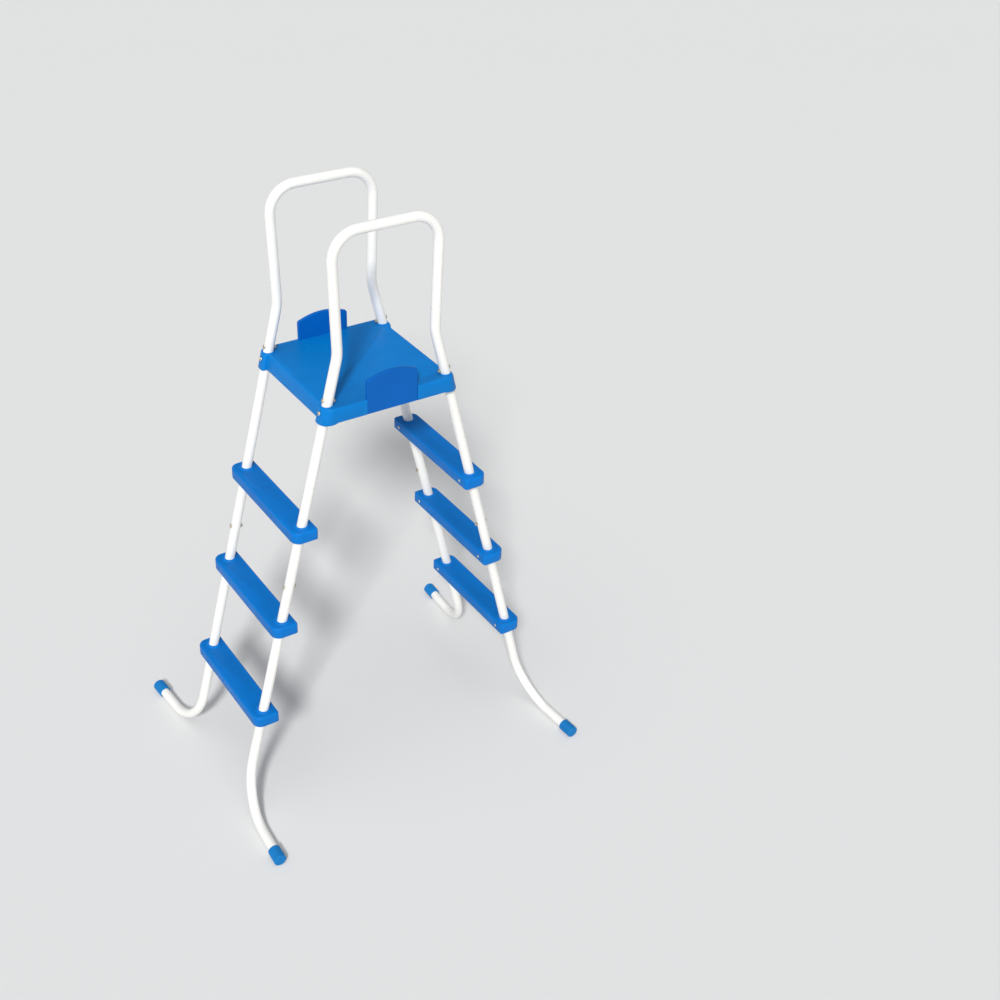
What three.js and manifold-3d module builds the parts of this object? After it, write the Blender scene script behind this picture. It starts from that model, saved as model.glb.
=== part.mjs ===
// A-frame pool ladder that stands astride a pool wall. Two flights of three hollow plastic treads
// lean together under a small platform, and a bent handrail runs over each side from leg to leg.
// Units are millimetres. +Z is up, +Y points from the garden side to the water side, and +X is to
// the right of a person who climbs in. The origin is on the ground, in the middle of the ladder.
import * as THREE from "three";
import { mergeVertices } from "three/addons/utils/BufferGeometryUtils.js";
import Module from "manifold-3d";

const wasm = await Module();
wasm.setup();

// ---- driving dimensions ----
const DECK_TOP = 1277;
const LEG_X = 173; // leg axis to the middle plane
const LEG_Y = 181; // leg axis to the middle plane, at the height of the deck
const LEAN = THREE.MathUtils.degToRad(14.1);
const TUBE_RADIUS = 14.25;
const TUBE_WALL = 1.2;
const TREAD_PITCH = 295;
const FIRST_TREAD_TOP = 338;
const TREADS_PER_FLIGHT = 3;
const GAP = 0.3; // play between two pieces that touch
const BORE_SIDES = 12;

// ---- tubes ----
const TUBE_SIDES = 16;
const LEG_HOLE_RADIUS = (TUBE_RADIUS + GAP) / Math.cos(Math.PI / BORE_SIDES);
const SPIGOT_RADIUS = TUBE_RADIUS - TUBE_WALL - 0.8; // the swaged end that slides into the next tube
const SPIGOT_LENGTH = 60;
const SWAGE_STEP = 1; // length over which a tube narrows to its spigot
const LEG_SEAM = 718; // height of the seam between lower and upper leg
const SHOULDER = 1268; // height where the handrail sits on the upper leg
const KINK_HEIGHT = 1415;
const RAIL_HEIGHT = 1748; // centre line of the rail's level run
const RAIL_CORNER_Y = 157;
const KINK_RADIUS = 135;
const RAIL_CORNER_RADIUS = 75;
const FOOT_BEND_RADIUS = 150;
const FOOT_END_X = 445;
const TOE_OUT = THREE.MathUtils.degToRad(3.4);

// ---- foot caps ----
const CAP_LENGTH = 49;
const CAP_RADIUS = 18.5;
const CAP_GROOVE = 1.5;
const CAP_RINGS = 7;
const CAP_END_WALL = 4;
const CAP_FLAT = 1; // how far the flat underneath is cut into the rings
const FOOT_HEIGHT = CAP_RADIUS - CAP_FLAT;

// ---- treads ----
const TREAD_HALF_LENGTH = 208;
const TREAD_FRONT = 40; // front edge to leg axis
const TREAD_BACK = 33; // back edge to leg axis
const TREAD_DEPTH = 33;
const TREAD_FRONT_CORNER = 26;
const TREAD_BACK_CORNER = 8;
const SHELL = 3; // wall of the moulded plastic pieces
const RIB = 2.4;
const RIB_EDGE = 6; // how far the ribs and bosses stop short of a tread's bottom
const TREAD_RIB_X = 75;
const TREAD_BOSS_WIDTH = 12;
const SLEEVE_RADIUS = 17.6;
const COLLAR_RADIUS = 22;
const COLLAR_HEIGHT = 2.5;
const DECK_COLLAR_RADIUS = 17.4;
const TREAD_SCREW_DROP = 18; // screw axis below the tread's top

// ---- platform ----
const DECK_HALF_X = 203;
const DECK_EDGE_Y = 188;
const DECK_SKIRT = 42;
const BLOCK_DEPTH = 45.5;
const BLOCK_INNER_X = 155; // side of a block that faces the middle plane
const BLOCK_EDGE_Y = 199.5;
const BLOCK_INNER_Y = 160;
const BLOCK_INNER_CORNER = 11; // a block stands forward of the edge by a little more
const BLOCK_CORNER = 29.5;
const DECK_RIB_DEPTH = 22;
const DECK_RIB_X = 72;
const DECK_RIB_Y = 60;

// ---- side guards ----
const GUARD_HALF_LENGTH = 77;
const GUARD_THICKNESS = 10;
const GUARD_OUTER_X = 201.5;
const GUARD_WALL = 2.5;
const GUARD_END_TOP = 1335;
const GUARD_MIDDLE_TOP = 1349;
const GUARD_CORNER = 8;

// ---- fasteners ----
const BOLT_RADIUS = 3;
const BOLT_HEAD_RADIUS = 6;
const BOLT_HEAD_HEIGHT = 4;
const NUT_WIDTH = 10;
const NUT_HEIGHT = 5;
const SCREW_RADIUS = 2.2;
const SCREW_HEAD_RADIUS = 4.5;
const SCREW_HEAD_HEIGHT = 3;
const SCREW_LENGTH = 28;
const FASTENER_SIDES = 8;
const HOLE_SIDES = 6;
const HOLE_PLAY = 0.6;
const LEG_BOLT_HEIGHT = 740;
const DECK_BOLT_HEIGHT = 1256;
const RAIL_BOLT_HEIGHT = 1291;

// ---- cutting shapes ----
const CLEAR = 20; // how far a cutting shape runs past the surface that it cuts
const ROOM = 500; // half width of a space that holds a whole tread or the whole platform

// ---- materials ----
const finishes = {
  tube: { color: 0xf6f5f1, roughness: 0.35, metalness: 0.1 },
  step: { color: 0x0077c8, roughness: 0.45, metalness: 0 },
  deck: { color: 0x0080d0, roughness: 0.45, metalness: 0 },
  guard: { color: 0x005fb7, roughness: 0.4, metalness: 0 },
  cap: { color: 0x1478cd, roughness: 0.55, metalness: 0 },
  zinc: { color: 0xd9d3c3, roughness: 0.3, metalness: 0.9 },
};

// Every piece is one named mesh with a material of its own.
function piece(name, geometry, finish) {
  const mesh = new THREE.Mesh(geometry, new THREE.MeshStandardMaterial(finishes[finish]));
  mesh.name = name;
  return mesh;
}

// ---- closed solids and boolean cuts ----
function solid(geometry) {
  const bare = geometry.clone();
  bare.deleteAttribute("normal");
  bare.deleteAttribute("uv");
  const merged = mergeVertices(bare);
  return new wasm.Manifold(
    new wasm.Mesh({
      numProp: 3,
      vertProperties: merged.attributes.position.array,
      triVerts: new Uint32Array(merged.index.array),
    }),
  );
}

function geometryOf(manifold) {
  const mesh = manifold.getMesh();
  const indexed = new THREE.BufferGeometry();
  indexed.setAttribute("position", new THREE.BufferAttribute(mesh.vertProperties, 3));
  indexed.setIndex(new THREE.BufferAttribute(mesh.triVerts, 1));
  const faceted = indexed.toNonIndexed();
  faceted.computeVertexNormals();
  return faceted;
}

// A box between two corners.
function box(low, high) {
  const size = high.map((value, axis) => value - low[axis]);
  const middle = high.map((value, axis) => (value + low[axis]) / 2);
  return solid(new THREE.BoxGeometry(...size).translate(...middle));
}

// A round bar along Z, from one height to another.
function bar(radius, bottom, top, sides = BORE_SIDES) {
  const cylinder = new THREE.CylinderGeometry(radius, radius, top - bottom, sides);
  return cylinder.rotateX(Math.PI / 2).translate(0, 0, (top + bottom) / 2);
}

// A round bar along Y.
function crossBar(radius, from, to) {
  return bar(radius, from, to, HOLE_SIDES).rotateX(-Math.PI / 2);
}

// A plan outline carried straight down from the height top, for the given depth.
function plate(outline, top, depth) {
  return new THREE.ExtrudeGeometry(outline, {
    depth,
    bevelEnabled: false,
    curveSegments: 2,
  }).translate(0, 0, top - depth);
}

// A rectangle in plan. corners gives the radius at low x low y, high x low y, high x high y and
// low x high y.
function roundedRectangle([lowX, lowY], [highX, highY], corners) {
  const [a, b, c, d] = corners;
  const outline = new THREE.Shape();
  outline.moveTo(lowX + a, lowY);
  outline.lineTo(highX - b, lowY);
  outline.absarc(highX - b, lowY + b, b, -Math.PI / 2, 0);
  outline.lineTo(highX, highY - c);
  outline.absarc(highX - c, highY - c, c, 0, Math.PI / 2);
  outline.lineTo(lowX + d, highY);
  outline.absarc(lowX + d, highY - d, d, Math.PI / 2, Math.PI);
  outline.lineTo(lowX, lowY + a);
  outline.absarc(lowX + a, lowY + a, a, Math.PI, 1.5 * Math.PI);
  return outline;
}

// ---- the legs' leaning axis ----
// Everything below is written for the flight on the garden side (low Y). The other flight is the
// same one turned half round. The axis of its right-hand leg at a height:
function legPoint(height) {
  return new THREE.Vector3(LEG_X, -(LEG_Y + Math.tan(LEAN) * (DECK_TOP - height)), height);
}

// The distance along the leg from the height of the deck to another height.
function alongLeg(height) {
  return (height - DECK_TOP) / Math.cos(LEAN);
}

// Turns a geometry from the leg's own frame (Z up the leg, Y across it towards the middle) into
// the flight's frame. side is 1 for the leg at high X and -1 for the one at low X.
function ontoLeg(geometry, side) {
  const foot = legPoint(DECK_TOP);
  return geometry.rotateX(-LEAN).translate(side * foot.x, foot.y, foot.z);
}

// The same leg axis in a tread's frame, whose origin is between the two legs at its top face.
function ontoTreadLeg(geometry, side) {
  return geometry.rotateX(-LEAN).translate(side * LEG_X, 0, 0);
}

// ---- bent tubes ----
// A centre line of straight runs joined by round bends. Its stations lie only at the ends and
// along the bends, so a straight run is one step of the tube.
class BentLine extends THREE.Curve {
  constructor(corners, bendRadii, stepsPerBend) {
    super();
    const towards = (from, to) => to.clone().sub(from).normalize();
    this.stations = [{ point: corners[0], tangent: towards(corners[0], corners[1]) }];
    bendRadii.forEach((radius, index) => {
      const corner = corners[index + 1];
      const before = towards(corners[index], corner);
      const after = towards(corner, corners[index + 2]);
      const angle = before.angleTo(after);
      const inward = after.clone().addScaledVector(before, -before.dot(after)).normalize();
      const start = corner.clone().addScaledVector(before, -radius * Math.tan(angle / 2));
      for (let step = 0; step <= stepsPerBend[index]; step += 1) {
        const swept = (angle * step) / stepsPerBend[index];
        const point = start.clone().addScaledVector(before, radius * Math.sin(swept));
        point.addScaledVector(inward, radius * (1 - Math.cos(swept)));
        const tangent = before.clone().multiplyScalar(Math.cos(swept));
        tangent.addScaledVector(inward, Math.sin(swept));
        this.stations.push({ point, tangent });
      }
    });
    const last = corners.length - 1;
    this.stations.push({ point: corners[last], tangent: towards(corners[last - 1], corners[last]) });
    this.steps = this.stations.length - 1;
  }

  getUtoTmapping(fraction) {
    return fraction;
  }

  getPoint(fraction, target = new THREE.Vector3()) {
    return target.copy(this.stations[Math.round(fraction * this.steps)].point);
  }

  getTangent(fraction, target = new THREE.Vector3()) {
    return target.copy(this.stations[Math.round(fraction * this.steps)].tangent);
  }
}

function circle(radius, sides) {
  return Array.from({ length: sides }, (_, index) => {
    const angle = (2 * Math.PI * index) / sides;
    return new THREE.Vector2(radius * Math.cos(angle), radius * Math.sin(angle));
  });
}

function bentTube(line) {
  const section = new THREE.Shape(circle(TUBE_RADIUS, TUBE_SIDES));
  section.holes.push(new THREE.Path(circle(TUBE_RADIUS - TUBE_WALL, BORE_SIDES)));
  return solid(new THREE.ExtrudeGeometry(section, { steps: line.steps, extrudePath: line }));
}

// A ring-shaped solid about Z from a closed outline of [radius, height] points.
function turned(outline, sides) {
  const profile = [...outline, outline[0]].map(([radius, height]) => new THREE.Vector2(radius, height));
  return new THREE.LatheGeometry(profile, sides).rotateX(Math.PI / 2);
}

// The hole that a bolt or screw passes through, across the leg at a height.
function boltHole(height, from, to, side, radius = BOLT_RADIUS) {
  const drill = crossBar(radius + HOLE_PLAY, from, to).translate(0, 0, alongLeg(height));
  return ontoLeg(drill, side);
}

// The level hole for the screw that fixes a tread, through the leg's wall on the middle side.
function treadScrewHole(treadTop, side) {
  const height = treadTop - TREAD_SCREW_DROP;
  const axis = legPoint(height);
  const drill = crossBar(SCREW_RADIUS + HOLE_PLAY, 0, TUBE_RADIUS + CLEAR);
  return drill.translate(side * axis.x, axis.y, axis.z);
}

const treadTops = Array.from(
  { length: TREADS_PER_FLIGHT },
  (_, index) => FIRST_TREAD_TOP + TREAD_PITCH * index,
);

// ---- lower leg: foot tube, bend and leaning tube with a swaged top ----
function lowerLeg(side) {
  const top = legPoint(LEG_SEAM);
  const bend = legPoint(FOOT_HEIGHT);
  const footEnd = FOOT_END_X - CAP_END_WALL - GAP;
  const foot = new THREE.Vector3(footEnd, bend.y - (footEnd - bend.x) * Math.tan(TOE_OUT), FOOT_HEIGHT);
  const corners = [top, bend, foot].map((point) => point.multiply(new THREE.Vector3(side, 1, 1)));
  const tube = bentTube(new BentLine(corners, [FOOT_BEND_RADIUS], [6]));
  const seam = alongLeg(LEG_SEAM);
  const bore = SPIGOT_RADIUS - TUBE_WALL;
  const swage = turned(
    [
      [TUBE_RADIUS, seam - 2],
      [TUBE_RADIUS, seam],
      [SPIGOT_RADIUS, seam + SWAGE_STEP],
      [SPIGOT_RADIUS, seam + SPIGOT_LENGTH],
      [bore, seam + SPIGOT_LENGTH],
      [bore, seam - 2],
    ],
    TUBE_SIDES,
  );
  let leg = tube.add(solid(ontoLeg(swage, side)));
  leg = leg.subtract(solid(boltHole(LEG_BOLT_HEIGHT, -TUBE_RADIUS, TUBE_RADIUS, side)));
  for (const treadTop of treadTops.filter((height) => height < LEG_SEAM)) {
    leg = leg.subtract(solid(treadScrewHole(treadTop, side)));
  }
  return geometryOf(leg);
}

// ---- upper leg: straight tube with a swaged top that enters the handrail ----
function upperLeg(side) {
  const bottom = alongLeg(LEG_SEAM) + SWAGE_STEP + GAP;
  const shoulder = alongLeg(SHOULDER);
  const top = shoulder + SPIGOT_LENGTH;
  const bore = TUBE_RADIUS - TUBE_WALL;
  const outline = [
    [TUBE_RADIUS, bottom],
    [TUBE_RADIUS, shoulder],
    [SPIGOT_RADIUS, shoulder + SWAGE_STEP],
    [SPIGOT_RADIUS, top],
    [SPIGOT_RADIUS - TUBE_WALL, top],
    [SPIGOT_RADIUS - TUBE_WALL, shoulder],
    [bore, shoulder - SWAGE_STEP],
    [bore, bottom],
  ];
  let leg = solid(ontoLeg(turned(outline, TUBE_SIDES), side));
  for (const height of [LEG_BOLT_HEIGHT, DECK_BOLT_HEIGHT, RAIL_BOLT_HEIGHT]) {
    leg = leg.subtract(solid(boltHole(height, -TUBE_RADIUS - 1, TUBE_RADIUS + 1, side)));
  }
  for (const treadTop of treadTops.filter((height) => height > LEG_SEAM)) {
    leg = leg.subtract(solid(treadScrewHole(treadTop, side)));
  }
  return geometryOf(leg);
}

// ---- foot cap: ribbed plastic cup over the end of the foot tube ----
function footCap(side) {
  const pitch = CAP_LENGTH / CAP_RINGS;
  const outside = [[CAP_RADIUS - CAP_GROOVE, 0]];
  for (let ring = 0; ring < CAP_RINGS; ring += 1) {
    outside.push([CAP_RADIUS, (ring + 0.5) * pitch]);
    outside.push([CAP_RADIUS - CAP_GROOVE, (ring + 1) * pitch]);
  }
  const bore = LEG_HOLE_RADIUS;
  const depth = CAP_LENGTH - CAP_END_WALL;
  const outline = [[0, depth], [bore, depth], [bore, 0], ...outside, [0, CAP_LENGTH]];
  const profile = outline.map(([radius, height]) => new THREE.Vector2(radius, height));
  const cup = new THREE.LatheGeometry(profile, BORE_SIDES).rotateX(Math.PI / 2).rotateY(Math.PI / 2);
  const low = [-CLEAR, -CAP_RADIUS - CLEAR, -CAP_RADIUS - CLEAR];
  const standing = box(low, [CAP_LENGTH + CLEAR, CAP_RADIUS + CLEAR, -FOOT_HEIGHT]);
  const geometry = geometryOf(solid(cup).subtract(standing));
  const bend = legPoint(FOOT_HEIGHT);
  const start = FOOT_END_X - CAP_LENGTH * Math.cos(TOE_OUT);
  const across = bend.y - (start - bend.x) * Math.tan(TOE_OUT);
  geometry.rotateZ(side > 0 ? -TOE_OUT : Math.PI + TOE_OUT);
  return geometry.translate(side * start, across, FOOT_HEIGHT);
}

// ---- tread: hollow moulding with a sleeve for each leg and ribs underneath ----
function tread() {
  const low = [-TREAD_HALF_LENGTH, -TREAD_FRONT];
  const high = [TREAD_HALF_LENGTH, TREAD_BACK];
  const corners = [TREAD_FRONT_CORNER, TREAD_FRONT_CORNER, TREAD_BACK_CORNER, TREAD_BACK_CORNER];
  const outside = roundedRectangle(low, high, corners);
  const inside = roundedRectangle(
    low.map((value) => value + SHELL),
    high.map((value) => value - SHELL),
    corners.map((radius) => radius - SHELL),
  );
  let body = solid(plate(outside, 0, TREAD_DEPTH));
  body = body.subtract(solid(plate(inside, -SHELL, TREAD_DEPTH)));
  const ribEnd = TREAD_DEPTH - RIB_EDGE;
  for (const x of [-TREAD_RIB_X, 0, TREAD_RIB_X]) {
    body = body.add(box([x - RIB / 2, -TREAD_FRONT + 1, -ribEnd], [x + RIB / 2, TREAD_BACK - 1, -1]));
  }
  const sleeveInside = LEG_X - TUBE_RADIUS - 2;
  body = body.add(box([-sleeveInside, -RIB / 2, -ribEnd], [sleeveInside, RIB / 2, -1]));
  const room = box([-ROOM, -ROOM, -TREAD_DEPTH], [ROOM, ROOM, -1]);
  for (const side of [-1, 1]) {
    const sleeve = solid(ontoTreadLeg(bar(SLEEVE_RADIUS, -TREAD_DEPTH - CLEAR, CLEAR), side));
    const collar = solid(bar(COLLAR_RADIUS, -1, COLLAR_HEIGHT).translate(side * LEG_X, 0, 0));
    const bossX = side * LEG_X - TREAD_BOSS_WIDTH / 2;
    const boss = box([bossX, SLEEVE_RADIUS / 2, -ribEnd], [bossX + TREAD_BOSS_WIDTH, TREAD_BACK - 1, -1]);
    body = body.add(sleeve.intersect(room)).add(collar).add(boss);
  }
  for (const side of [-1, 1]) {
    const legHole = bar(LEG_HOLE_RADIUS, -TREAD_DEPTH - CLEAR, CLEAR);
    const screwHole = crossBar(SCREW_RADIUS + HOLE_PLAY, 0, TREAD_BACK + CLEAR);
    body = body.subtract(solid(ontoTreadLeg(legHole, side)));
    body = body.subtract(solid(screwHole.translate(side * LEG_X, 0, -TREAD_SCREW_DROP)));
  }
  return geometryOf(body);
}

// ---- platform: hollow moulding with a leaning corner block over each leg ----
// The blocks and the long edges lean with the legs: a shear in Y that keeps the top face level.
function leanWithLegs(geometry) {
  const shear = new THREE.Matrix4().set(1, 0, 0, 0, 0, 1, Math.tan(LEAN), 0, 0, 0, 1, 0, 0, 0, 0, 1);
  const raised = geometry.translate(0, 0, -DECK_TOP).applyMatrix4(shear);
  return raised.translate(0, 0, DECK_TOP);
}

// Plan outline of the garden half of the platform, past the middle so that the halves join. The
// corner blocks stand forward of the edge between them.
function deckOutline(inset) {
  const x = DECK_HALF_X - inset;
  const corner = BLOCK_CORNER - inset;
  const innerCorner = BLOCK_INNER_CORNER - inset;
  const front = -BLOCK_EDGE_Y + inset;
  const stepX = BLOCK_INNER_X + inset;
  const stepY = -DECK_EDGE_Y + inset;
  const roundX = stepX + innerCorner;
  const outline = new THREE.Shape();
  outline.moveTo(x, DECK_RIB_Y);
  outline.lineTo(-x, DECK_RIB_Y);
  outline.lineTo(-x, front + corner);
  outline.absarc(corner - x, front + corner, corner, Math.PI, 1.5 * Math.PI);
  outline.lineTo(-roundX, front);
  outline.absarc(-roundX, front + innerCorner, innerCorner, -Math.PI / 2, 0);
  outline.lineTo(-stepX, stepY);
  outline.lineTo(stepX, stepY);
  outline.lineTo(stepX, front + innerCorner);
  outline.absarc(roundX, front + innerCorner, innerCorner, Math.PI, 1.5 * Math.PI);
  outline.lineTo(x - corner, front);
  outline.absarc(x - corner, front + corner, corner, -Math.PI / 2, 0);
  return outline;
}

// Plan outline of one corner block, which reaches lower than the skirt.
function blockOutline(inset, side) {
  const inner = side * (BLOCK_INNER_X + inset);
  const outer = side * (DECK_HALF_X - inset);
  const innerCorner = BLOCK_INNER_CORNER - inset;
  const outerCorner = BLOCK_CORNER - inset;
  const frontCorners = side > 0 ? [innerCorner, outerCorner] : [outerCorner, innerCorner];
  const low = [Math.min(inner, outer), -BLOCK_EDGE_Y + inset];
  const high = [Math.max(inner, outer), -BLOCK_INNER_Y];
  return roundedRectangle(low, high, [...frontCorners, 0, 0]);
}

// Half a platform, solid, from a height down to the skirt's bottom and the blocks' bottom.
function halfDeck(inset, skirtBottom, blockBottom, turn) {
  const top = DECK_TOP - inset;
  let half = solid(leanWithLegs(plate(deckOutline(inset), top, top - skirtBottom)).rotateZ(turn));
  for (const side of [-1, 1]) {
    const block = leanWithLegs(plate(blockOutline(inset, side), top, top - blockBottom));
    half = half.add(solid(block.rotateZ(turn)));
  }
  return half;
}

// The whole platform, solid, or the space inside it.
function wholeDeck(inset, skirtBottom, blockBottom) {
  const halves = [0, Math.PI].map((turn) => halfDeck(inset, skirtBottom, blockBottom, turn));
  return halves[0].add(halves[1]);
}

function platform() {
  const skirtBottom = DECK_TOP - DECK_SKIRT;
  const blockBottom = DECK_TOP - BLOCK_DEPTH;
  const open = blockBottom - CLEAR;
  let body = wholeDeck(0, skirtBottom, blockBottom).subtract(wholeDeck(SHELL, open, open));

  // Ribs under the deck, then the pocket walls that hold the side guards.
  const ribBottom = DECK_TOP - DECK_RIB_DEPTH;
  const ribTop = DECK_TOP - 1;
  const ribX = DECK_HALF_X - 1;
  for (const x of [-DECK_RIB_X, 0, DECK_RIB_X]) {
    const low = [x - RIB / 2, -DECK_EDGE_Y, ribBottom];
    body = body.add(box(low, [x + RIB / 2, DECK_EDGE_Y, ribTop]));
  }
  for (const y of [-DECK_RIB_Y, DECK_RIB_Y]) {
    body = body.add(box([-ribX, y - RIB / 2, ribBottom], [ribX, y + RIB / 2, ribTop]));
  }
  const pocketX = GUARD_OUTER_X - GUARD_THICKNESS - GAP;
  const pocketY = GUARD_HALF_LENGTH + GAP;
  const wallY = pocketY + SHELL;
  for (const side of [-1, 1]) {
    const wallX = [side * (pocketX - SHELL), side * DECK_HALF_X].sort((a, b) => a - b);
    const openX = [side * pocketX, side * (DECK_HALF_X + CLEAR)].sort((a, b) => a - b);
    const wall = box([wallX[0], -wallY, skirtBottom], [wallX[1], wallY, DECK_TOP]);
    const pocket = box([openX[0], -pocketY, open], [openX[1], pocketY, DECK_TOP + CLEAR]);
    body = body.add(wall).subtract(pocket);
  }

  // A sleeve and a low collar at each leg, then the holes for the leg and its bolt.
  const bottom = alongLeg(blockBottom) - CLEAR;
  const room = box([-ROOM, -ROOM, blockBottom], [ROOM, ROOM, ribTop]);
  for (const turn of [0, Math.PI]) {
    for (const side of [-1, 1]) {
      const sleeve = ontoLeg(bar(SLEEVE_RADIUS, bottom, CLEAR), side).rotateZ(turn);
      const collar = bar(DECK_COLLAR_RADIUS, ribTop, DECK_TOP + COLLAR_HEIGHT);
      const placed = collar.translate(side * LEG_X, -LEG_Y, 0).rotateZ(turn);
      body = body.add(solid(sleeve).intersect(room)).add(solid(placed));
    }
  }
  for (const turn of [0, Math.PI]) {
    for (const side of [-1, 1]) {
      const legHole = ontoLeg(bar(LEG_HOLE_RADIUS, bottom, CLEAR), side).rotateZ(turn);
      const drill = boltHole(DECK_BOLT_HEIGHT, -3 * CLEAR, 3 * CLEAR, side).rotateZ(turn);
      body = body.subtract(solid(legHole)).subtract(solid(drill));
    }
  }
  return geometryOf(body);
}

// ---- side guard: hollow arched plate that stands in the platform's pocket ----
function sideGuard(side) {
  const bottom = DECK_TOP - DECK_SKIRT;
  const arch = (inset) => {
    const half = GUARD_HALF_LENGTH - inset;
    const endTop = GUARD_END_TOP - inset;
    const corner = GUARD_CORNER - inset;
    const outline = new THREE.Shape();
    const base = inset > 0 ? -CLEAR : 0; // the space inside a guard is open underneath
    outline.moveTo(-half, base);
    outline.lineTo(half, base);
    outline.lineTo(half, endTop - corner - bottom);
    outline.absarc(half - corner, endTop - corner - bottom, corner, 0, 0.46 * Math.PI);
    const crown = 2 * (GUARD_MIDDLE_TOP - inset) - endTop - bottom;
    outline.quadraticCurveTo(0, crown, corner - half, endTop - bottom);
    outline.absarc(corner - half, endTop - corner - bottom, corner, 0.54 * Math.PI, Math.PI);
    return outline;
  };
  const slab = (inset) => {
    const thickness = GUARD_THICKNESS - 2 * inset;
    const geometry = new THREE.ExtrudeGeometry(arch(inset), {
      depth: thickness,
      bevelEnabled: false,
      curveSegments: 5,
    });
    const centred = geometry.translate(0, 0, -thickness / 2).rotateX(Math.PI / 2).rotateZ(Math.PI / 2);
    return solid(centred.translate(0, 0, bottom));
  };
  const geometry = geometryOf(slab(0).subtract(slab(GUARD_WALL)));
  return geometry.translate(side * (GUARD_OUTER_X - GUARD_THICKNESS / 2), 0, 0);
}

// ---- handrail: one tube bent over the platform from leg to leg ----
function handrail(side) {
  const x = side * LEG_X;
  const end = legPoint(SHOULDER + SWAGE_STEP + GAP);
  const kink = legPoint(KINK_HEIGHT);
  const rising = [
    [end.y, end.z],
    [kink.y, kink.z],
    [-RAIL_CORNER_Y, RAIL_HEIGHT],
  ];
  const falling = rising.map(([y, z]) => [-y, z]).reverse();
  const corners = [...rising, ...falling].map(([y, z]) => new THREE.Vector3(x, y, z));
  const radii = [KINK_RADIUS, RAIL_CORNER_RADIUS, RAIL_CORNER_RADIUS, KINK_RADIUS];
  let rail = bentTube(new BentLine(corners, radii, [2, 6, 6, 2]));
  for (const turn of [0, Math.PI]) {
    const turnedSide = side * Math.cos(turn);
    const drill = boltHole(RAIL_BOLT_HEIGHT, -TUBE_RADIUS - 1, TUBE_RADIUS + 1, turnedSide);
    rail = rail.subtract(solid(drill.rotateZ(turn)));
  }
  return geometryOf(rail);
}

// ---- fasteners ----
// A round-headed fastener along Y: the head's underside is at -reach, the tip at +length.
function headedPin(radius, headRadius, headHeight, reach, tip) {
  const outline = [
    [0, -reach - headHeight],
    [headRadius * 0.6, -reach - headHeight * 0.85],
    [headRadius, -reach],
    [radius, -reach],
    [radius, tip],
    [0, tip],
  ];
  const profile = outline.map(([r, y]) => new THREE.Vector2(r, y));
  return new THREE.LatheGeometry(profile, FASTENER_SIDES);
}

function throughBolt(height, headReach, nutReach, side) {
  const tip = nutReach + NUT_HEIGHT + 2;
  const bolt = headedPin(BOLT_RADIUS, BOLT_HEAD_RADIUS, BOLT_HEAD_HEIGHT, headReach, tip);
  return ontoLeg(bolt.translate(0, 0, alongLeg(height)), side);
}

function nut(height, nutReach, side) {
  const hexagon = new THREE.Shape(circle(NUT_WIDTH / 2 / Math.cos(Math.PI / 6), 6));
  hexagon.holes.push(new THREE.Path(circle(BOLT_RADIUS + HOLE_PLAY, HOLE_SIDES)));
  const body = new THREE.ExtrudeGeometry(hexagon, { depth: NUT_HEIGHT, bevelEnabled: false });
  const across = body.rotateX(-Math.PI / 2).translate(0, nutReach, alongLeg(height));
  return ontoLeg(across, side);
}

function treadScrew(treadTop, side) {
  const reach = TREAD_BACK + GAP;
  const pin = headedPin(SCREW_RADIUS, SCREW_HEAD_RADIUS, SCREW_HEAD_HEIGHT, reach, SCREW_LENGTH - TREAD_BACK);
  const leg = legPoint(treadTop);
  return pin.rotateZ(Math.PI).translate(side * LEG_X, leg.y, treadTop - TREAD_SCREW_DROP);
}

// ---- one flight: two legs, their feet, three treads and the fasteners ----
function flight(place, turn) {
  const group = new THREE.Group();
  group.rotation.z = turn;
  for (const side of [-1, 1]) {
    const hand = side * Math.cos(turn) > 0 ? "right" : "left";
    const name = (what) => `${place}_${hand}_${what}`;
    group.add(piece(name("lower_leg"), lowerLeg(side), "tube"));
    group.add(piece(name("upper_leg"), upperLeg(side), "tube"));
    group.add(piece(name("foot_cap"), footCap(side), "cap"));
    const onTube = TUBE_RADIUS + GAP;
    const outsideBlock = (BLOCK_EDGE_Y - LEG_Y) * Math.cos(LEAN) + GAP;
    const joints = [
      ["leg_joint", LEG_BOLT_HEIGHT, onTube, onTube],
      ["deck", DECK_BOLT_HEIGHT, outsideBlock, SLEEVE_RADIUS + GAP],
      ["handrail", RAIL_BOLT_HEIGHT, onTube, onTube],
    ];
    for (const [where, height, headReach, nutReach] of joints) {
      group.add(piece(name(`${where}_bolt`), throughBolt(height, headReach, nutReach, side), "zinc"));
      group.add(piece(name(`${where}_nut`), nut(height, nutReach, side), "zinc"));
    }
    treadTops.forEach((treadTop, index) => {
      group.add(piece(name(`tread_${index + 1}_screw`), treadScrew(treadTop, side), "zinc"));
    });
  }
  treadTops.forEach((treadTop, index) => {
    const step = piece(`${place}_tread_${index + 1}`, tread(), "step");
    step.position.set(0, legPoint(treadTop).y, treadTop);
    group.add(step);
  });
  return group;
}

const ladder = new THREE.Group();
ladder.add(flight("garden", 0));
ladder.add(flight("water", Math.PI));
ladder.add(piece("platform_deck", platform(), "deck"));
for (const side of [-1, 1]) {
  const hand = side > 0 ? "right" : "left";
  ladder.add(piece(`${hand}_side_guard`, sideGuard(side), "guard"));
  ladder.add(piece(`${hand}_handrail`, handrail(side), "tube"));
}

export default ladder;
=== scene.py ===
# The looks of an A-frame pool ladder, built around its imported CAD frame. Dimensions are in
# millimetres and become metres where a mesh is made. +Z is up, +Y points from the garden side to
# the water side, and +X is to the right of a person who climbs in.
import math

import bmesh
import bpy
import numpy as np
from mathutils import Matrix, Vector


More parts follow.
